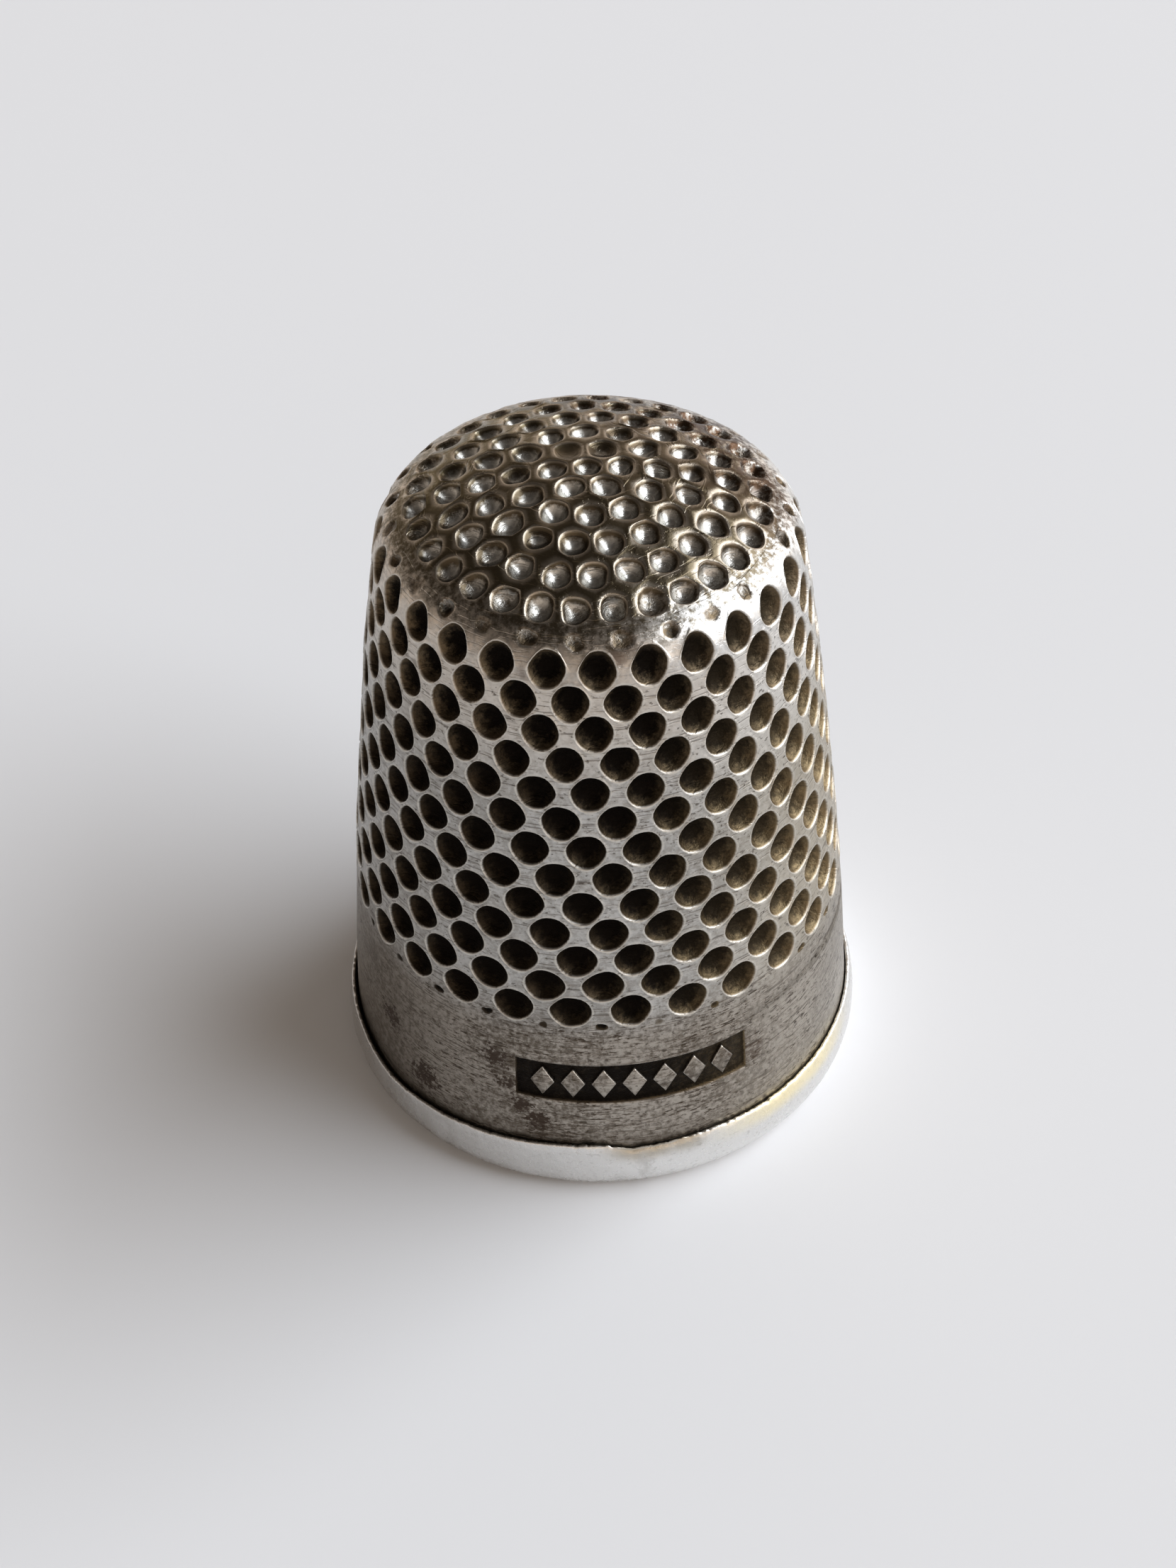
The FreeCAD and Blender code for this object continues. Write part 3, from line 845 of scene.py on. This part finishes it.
# the worn steel of the shell, whose colours also hold painted light: warm reflections and a white highlight
# at the right, painted reflections on the shoulder, lighter upper lands and painted shade in the pit
# floors. Heights and distances across are in metres
steel = {
    "skirtDark": (0.13, 0.108, 0.085, 1), "skirtLight": (0.39, 0.355, 0.31, 1),
    "skirtWarmReflection": (0.42, 0.385, 0.33, 1), "landDark": (0.33, 0.315, 0.29, 1),
    "land": (0.50, 0.49, 0.47, 1), "landWarmReflection": (0.52, 0.45, 0.33, 1), "crown": (0.14, 0.112, 0.072, 1),
    "olive": (0.165, 0.132, 0.06, 1), "brown": (0.065, 0.037, 0.022, 1),
    "crownPit": (0.57, 0.555, 0.52, 1), "crownDeep": (0.08, 0.062, 0.04, 1),
    "shoulder": (0.70, 0.62, 0.53, 1), "silverHighlight": (0.78, 0.78, 0.77, 1),
    "pitWall": (0.042, 0.031, 0.02, 1), "wallWarmReflection": (0.185, 0.137, 0.077, 1),
    "wallTop": (0.15, 0.112, 0.07, 1), "pit": (0.009, 0.007, 0.0055, 1),
    "pitWarmReflection": (0.05, 0.038, 0.023, 1), "worn": (0.66, 0.63, 0.57, 1), "speck": (0.06, 0.045, 0.032, 1),
    "stain": (0.055, 0.038, 0.028, 1),
    "stains": ((-25, 5.75, 1.1), (-22.5, 4.6, 0.9), (-19, 3.7, 0.8), (-15, 3.1, 1.0), (-45, 3.0, 1.4),
               (-58, 4.5, 1.2)),
    "rusts": ((32, 5.4, 1.3), (36, 4.7, 1.0)), "mottleBand": (0.40, 0.60), "wideMottle": (0.3, 0.7),
    "rimShade": ((0.0030, 0.0020), 0.5), "rightWarmReflection": ((0.002, 0.0085), 0.6),
    "paintedTopLight": ((0.0165, 0.0215), 0.5), "rightBand": (0.002, 0.007), "highBand": (0.015, 0.0205),
    "rightHighlight": 0.7, "skirtWarmReflectionFade": ((0.002, 0.008), 0.45), "skirtShade": ((-0.003, -0.008), 0.35),
    "landBand": (0.0068, 0.0090), "fewDashesBand": (0.0072, 0.0090), "dashAmounts": (0.95, 0.25),
    "lineAmount": 0.55, "speckAmount": 0.7, "stainAmount": 0.95, "rustAmount": 0.5,
    "crossingBand": (0.7, 1.0), "crossingStain": (0.0, 0.6), "oliveBand": (0.0, 0.009),
    "tarnishBand": (0.0015, 0.0075), "tarnishMottle": (0.4, 0.52), "crownMottle": 0.4,
    "crownWall": (0.03, 0.2), "polishedBand": (0.2, 0.4), "polishedMottle": (0.07, -0.07),
    "polishedHeight": (0.0228, 0.0231), "crownLip": ((0.3, 1.0), 0.35), "silverHighlightBand": (0.0, 0.004),
    "shoulderMottle": 0.6, "darkReflectionPlace": 0.0010, "darkReflectionBand": (0.0048, 0.001), "darkReflectionStain": (-0.5, 0.9),
    "shoulderRise": ((0.0210, 0.0222), 0.85), "pitReflectionBand": (0.001, 0.0085),
    "wallReflectionBand": (-0.002, 0.008), "wallTopBand": (0.0165, 0.0215), "wallBand": (0.0, 0.35),
    "floorBand": (0.3, 0.85), "floorMottle": (-0.2, 0.2), "lipShine": ((0.5, 1.0), 0.55),
    "crownBand": (0.0227, 0.0236), "crownRagged": (-0.0005, 0.0005), "crownPitRise": 0.0002,
    "roughMottle": 0.35,
    "roughness": (0.2, 0.12),  # on the side and on the crown
    "roughStain": 0.15, "roughPit": 0.25, "relief": (1800.0, 4.0, 0.6), "reliefAmount": 0.8,
    "markDepth": 1.2, "pitRelief": (4200.0, 3.0, 0.7), "pitReliefAmounts": (5.0, 0.8),
    "bump": {"Strength": 0.4, "Distance": 0.00005},
}


def skirtAndLands(g, at, worn, mottle, marks):
    s = steel
    base = g.blend(mottle, s["skirtDark"], s["skirtLight"])
    base = g.blend(g.fade(at["height"], *s["rimShade"]), base, s["skirtDark"])
    land = g.blend(mottle, s["landDark"], s["land"])
    # painted warm reflection: the lands turn golden towards the right, where the light falls
    land = g.blend(g.fade(at["across"], *s["rightWarmReflection"]), land, s["landWarmReflection"])
    # painted light: the upper lands turn lighter and beige towards the shoulder
    land = g.blend(g.fade(at["height"], *s["paintedTopLight"]), land, s["shoulder"])
    # painted highlight: the lands high on the right turn white
    bright = g.times(g.spread(at["across"], s["rightBand"]), g.spread(at["height"], s["highBand"]))
    land = g.blend(g.times(bright, s["rightHighlight"]), land, s["silverHighlight"])
    # painted warm reflection: the skirt turns lighter and warmer towards the right
    base = g.blend(g.fade(at["across"], *s["skirtWarmReflectionFade"]), base, s["skirtWarmReflection"])
    base = g.blend(g.fade(at["across"], *s["skirtShade"]), base, s["skirtDark"])
    base = g.blend(g.spread(at["height"], s["landBand"]), base, land)
    base = g.blend(marks, base, s["speck"])
    base = g.blend(g.times(worn["Specks"], s["speckAmount"]), base, s["speck"])
    base = g.blend(g.times(at["stains"], s["stainAmount"]), base, s["stain"])
    base = g.blend(g.times(at["rusts"], s["rustAmount"]), base, s["brown"])
    flecks = g.spread(g.mask("crossing"), s["crossingBand"])
    flecks = g.times(flecks, g.spread(worn["Stain"], s["crossingStain"]))
    return g.blend(flecks, base, s["speck"])


def crownTone(g, at, worn, mottle):  # olive at the back left, brown at the back right, bright bowls
    s = steel
    leftBack = g.maths("SUBTRACT", at["deep"], at["across"])
    crown = g.blend(g.spread(leftBack, s["oliveBand"]), s["crown"], s["olive"])
    crown = g.blend(g.times(mottle, s["crownMottle"]), crown, s["crownDeep"])
    crown = g.blend(g.spread(at["pitDepth"], s["crownWall"]), crown, s["crownDeep"])
    polished = g.plus(at["pitDepth"], g.spread(worn["Mottle"], s["wideMottle"], s["polishedMottle"]))
    polished = g.spread(polished, s["polishedBand"])
    polished = g.times(polished, g.spread(at["height"], s["polishedHeight"]))
    crown = g.blend(polished, crown, s["crownPit"])
    crown = g.blend(g.fade(at["lipWear"], *s["crownLip"]), crown, s["shoulder"])
    tarnish = g.spread(g.plus(at["deep"], at["across"]), s["tarnishBand"])
    tarnish = g.times(tarnish, g.spread(worn["Mottle"], s["tarnishMottle"]))
    return g.blend(tarnish, crown, s["brown"])


def shoulderTone(g, at, worn, mottle):  # painted reflections: a white highlight at the right, warm beige at the left, dark brown between
    s = steel
    # painted reflections: a white highlight at the right where the key light falls, warm beige at the left
    # from the lit wall
    shoulder = g.blend(g.spread(at["across"], s["silverHighlightBand"]), s["shoulder"], s["silverHighlight"])
    shoulder = g.blend(g.times(mottle, s["shoulderMottle"]), shoulder, s["landDark"])
    # painted reflection: dark brown in a band across the middle, from the dark room behind the camera,
    # broken up by the stain noise
    fromDark = g.maths("ABSOLUTE", g.plus(at["across"], s["darkReflectionPlace"]))
    dark = g.times(g.spread(fromDark, s["darkReflectionBand"]), g.spread(worn["Stain"], s["darkReflectionStain"]))
    return g.blend(dark, shoulder, s["brown"])


def pitsTone(g, at, worn, side):  # tarnished brown walls over near-black floors of tarnish and painted shade, with painted warm reflections towards the right
    s = steel
    # the pit floors: tarnish and painted shade, nearly black, with a painted warm reflection towards the
    # right
    floorTone = g.blend(g.spread(at["across"], s["pitReflectionBand"]), s["pit"], s["pitWarmReflection"])
    # the pit walls: brown tarnish, with a painted warm reflection towards the right
    wallTone = g.blend(g.spread(at["across"], s["wallReflectionBand"]), s["pitWall"], s["wallWarmReflection"])
    wallTone = g.blend(g.spread(at["height"], s["wallTopBand"]), wallTone, s["wallTop"])
    side = g.blend(g.spread(at["pitDepth"], s["wallBand"]), side, wallTone)
    brokenDepth = g.plus(at["pitDepth"], g.spread(worn["Mottle"], s["wideMottle"], s["floorMottle"]))
    side = g.blend(g.spread(brokenDepth, s["floorBand"]), side, floorTone)
    return g.blend(g.fade(at["lipWear"], *s["lipShine"]), side, s["worn"])


def makeShellSteel():
    s = steel
    makePatches("stainPatches", s["stains"], True)
    makePatches("rustPatches", s["rusts"], True)
    g, shader = newMaterial("shellSteel", shellPiece)
    place = g.node("ShaderNodeTexCoord").outputs["Object"]
    at = dict(zip(("across", "deep", "height"), g.node("ShaderNodeSeparateXYZ", {0: place}).outputs))
    at["pitDepth"] = g.mask("pitDepth")
    at["lipWear"] = g.mask("lipWear")
    at["stains"] = useGroup(g, "stainPatches", place)[0]
    at["rusts"] = useGroup(g, "rustPatches", place)[0]
    worn = useGroup(g, "wornSteel", place)
    dashes, lines = useGroup(g, "scratches", place)
    mottle = g.spread(worn["Mottle"], s["mottleBand"])
    onLand = g.spread(at["height"], s["fewDashesBand"])
    dashes = g.times(dashes, g.spread(onLand, (0.0, 1.0), s["dashAmounts"]))
    marks = g.maths("MAXIMUM", dashes, g.times(lines, s["lineAmount"]))
    base = skirtAndLands(g, at, worn, mottle, marks)
    side = g.blend(g.fade(at["height"], *s["shoulderRise"]), base, shoulderTone(g, at, worn, mottle))
    side = pitsTone(g, at, worn, side)
    raggedHeight = g.plus(at["height"], g.spread(worn["Mottle"], s["wideMottle"], s["crownRagged"]))
    raggedHeight = g.plus(raggedHeight, g.times(at["pitDepth"], s["crownPitRise"]))
    onCrown = g.spread(raggedHeight, s["crownBand"])
    g.join(g.blend(onCrown, side, crownTone(g, at, worn, mottle)), shader["Base Color"])
    shader["Metallic"].default_value = 1.0
    rough = g.plus(g.times(worn["Mottle"], s["roughMottle"]), g.spread(onCrown, (0.0, 1.0), s["roughness"]))
    rough = g.plus(rough, g.times(at["stains"], s["roughStain"]))
    onSide = g.maths("SUBTRACT", 1.0, onCrown)
    g.join(g.plus(rough, g.times(onSide, g.times(at["pitDepth"], s["roughPit"]))), shader["Roughness"])
    relief = g.times(g.noise(place, *s["relief"]), s["reliefAmount"])
    relief = g.maths("SUBTRACT", relief, g.times(marks, s["markDepth"]))
    pitAmount = g.times(at["pitDepth"], g.spread(onCrown, (0.0, 1.0), s["pitReliefAmounts"]))
    relief = g.plus(relief, g.times(g.noise(place, *s["pitRelief"]), pitAmount))
    g.join(g.node("ShaderNodeBump", dict(s["bump"], Height=relief)), shader["Normal"])


# the soft bright metal of the lining, with a painted yellow glint on the lip at the right front
soft = {
    "bright": (0.76, 0.755, 0.74, 1), "dull": (0.60, 0.59, 0.57, 1), "speck": (0.20, 0.18, 0.15, 1),
    "shade": (0.50, 0.475, 0.45, 1), "glintGold": (0.98, 0.88, 0.60, 1), "ledge": (0.42, 0.38, 0.31, 1),
    "glints": ((44, 1.6, 4.0), (54, 1.2, 4.0)), "ledges": ((5, 2.1, 1.3), (11, 2.1, 1.5), (17, 2.1, 1.3)),
    "speckAmount": 0.22, "leftShade": ((0.003, -0.005), 0.5), "glintBand": (0.25, 0.7),
    "ledgeBand": (0.35, 0.7), "roughBand": (0.25, 0.75), "roughness": (0.18, 0.42),
    "fineRelief": (3200.0, 4.0, 0.6), "broadRelief": (700.0, 3.0), "broadAmount": 3.0,
    "bump": {"Strength": 0.35, "Distance": 0.00008},
}


def makeLiningMetal():
    s = soft
    makePatches("glintPatches", s["glints"], False)
    makePatches("ledgePatches", s["ledges"], False)
    g, shader = newMaterial("liningMetal", liningPiece)
    place = g.node("ShaderNodeTexCoord").outputs["Object"]
    across = g.node("ShaderNodeSeparateXYZ", {0: place}).outputs[0]
    worn = useGroup(g, "wornSteel", place)
    lip = g.mask("lip")
    base = g.blend(g.spread(worn["Stain"], (0.0, 1.0)), s["bright"], s["dull"])
    base = g.blend(g.times(worn["Specks"], s["speckAmount"]), base, s["speck"])
    base = g.blend(g.fade(across, *s["leftShade"]), base, s["shade"])
    # painted glint: yellow-white patches on the lip's upper edge at the right front, where the light
    # catches it
    glints = useGroup(g, "glintPatches", place)[0]
    base = g.blend(g.times(glints, g.spread(lip, s["glintBand"])), base, s["glintGold"])
    ledges = useGroup(g, "ledgePatches", place)[0]
    base = g.blend(g.times(ledges, g.spread(lip, s["ledgeBand"])), base, s["ledge"])
    g.join(base, shader["Base Color"])
    shader["Metallic"].default_value = 1.0
    g.join(g.spread(worn["Mottle"], s["roughBand"], s["roughness"]), shader["Roughness"])
    broad = g.times(g.noise(place, *s["broadRelief"]), s["broadAmount"])
    relief = g.plus(g.noise(place, *s["fineRelief"]), broad)
    g.join(g.node("ShaderNodeBump", dict(s["bump"], Height=relief)), shader["Normal"])


makeScratches()
makeWornMetal()
makeShellSteel()
makeLiningMetal()
print("materials made", len(bpy.data.materials))

# a plain pale floor, in metres
floorPaper = {
    "half": 2.0,
    "below": 0.00002,  # keeps the rim's foot from flickering against it
    "tone": (0.80, 0.80, 0.81, 1), "roughness": 0.75, "specular": 0.2,
}


def makeFloor():
    s = floorPaper
    half = s["half"]
    corners = [(x, y, -s["below"]) for x, y in ((-half, -half), (half, -half), (half, half), (-half, half))]
    mesh = bpy.data.meshes.new("floor")
    mesh.from_pydata(corners, [], [(0, 1, 2, 3)])
    floor = bpy.data.objects.new("floor", mesh)
    bpy.context.scene.collection.objects.link(floor)
    shader = newMaterial("floorPaper", floor)[1]
    shader["Base Color"].default_value = s["tone"]
    shader["Roughness"].default_value = s["roughness"]
    shader["Specular IOR Level"].default_value = s["specular"]
    return floor


floor = makeFloor()

# soft light from the right, a dim warm room that is brighter low down, and a pale backdrop
studio = {
    "roomTone": (1.0, 0.86, 0.74, 1), "fromFloor": ((-0.1, 1.0), (0.85, 0.08)),
    "fromLeft": ((-1.0, 1.0), (0.4, 1.6)), "horizon": ((0.42, 0.0), (0.0, 0.4)),
    "backdrop": (0.70, 0.70, 0.715, 1), "keyPlace": (2.0, 0.13, 1.45), "keySize": (3.2, 2.3),
    "keyPower": 98.0, "keyTone": (0.94, 1.0, 1.07),
}


def makeRoom():
    s = studio
    world = bpy.data.worlds.new("room")
    bpy.context.scene.world = world
    world.use_nodes = True
    world.node_tree.nodes.clear()
    g = Graph(world.node_tree)
    way = g.node("ShaderNodeTexCoord").outputs["Generated"]
    x, _, z = g.node("ShaderNodeSeparateXYZ", {0: way}).outputs
    glow = g.times(g.spread(z, *s["fromFloor"]), g.spread(x, *s["fromLeft"]))
    glow = g.plus(glow, g.spread(z, *s["horizon"]))
    room = g.node("ShaderNodeBackground", {"Color": s["roomTone"], "Strength": glow})
    backdrop = g.node("ShaderNodeBackground", {"Color": s["backdrop"], "Strength": 1.0})
    seen = g.node("ShaderNodeLightPath").outputs["Is Camera Ray"]
    mixed = g.node("ShaderNodeMixShader", {0: seen, 1: room, 2: backdrop})
    g.node("ShaderNodeOutputWorld", {"Surface": mixed})


def makeKeyLight():
    s = studio
    light = bpy.data.lights.new("key", "AREA")
    light.shape = "RECTANGLE"
    light.size, light.size_y = s["keySize"]
    light.energy = s["keyPower"]
    light.color = s["keyTone"]
    lamp = bpy.data.objects.new("key", light)
    lamp.location = s["keyPlace"]
    lamp.rotation_euler = (-Vector(s["keyPlace"])).to_track_quat("-Z", "Y").to_euler()
    bpy.context.scene.collection.objects.link(lamp)


# the camera's place and aim are in millimetres, and its roll is in radians
view = {
    "place": (-0.277, -71.585, 78.490), "aim": (-0.277, 0.0, 10.948), "lens": 64.13, "sensor": 36.0,
    "roll": 0.0309, "clip": (0.005, 10.0),
}


def makeCamera():
    data = bpy.data.cameras.new("camera")
    data.lens = view["lens"]
    data.sensor_width = view["sensor"]
    data.clip_start, data.clip_end = view["clip"]
    camera = bpy.data.objects.new("camera", data)
    bpy.context.scene.collection.objects.link(camera)
    forward = (Vector(view["aim"]) - Vector(view["place"])).normalized()
    camera.rotation_mode = "QUATERNION"
    roll = Euler((0, 0, -view["roll"])).to_quaternion()
    camera.rotation_quaternion = forward.to_track_quat("-Z", "Y") @ roll
    camera.location = Vector(view["place"]) * mm
    return camera


makeRoom()
makeKeyLight()
bpy.context.scene.camera = makeCamera()
bpy.context.scene.view_settings.view_transform = "Standard"
print("floor, light and camera placed")

bpy.context.view_layer.update()
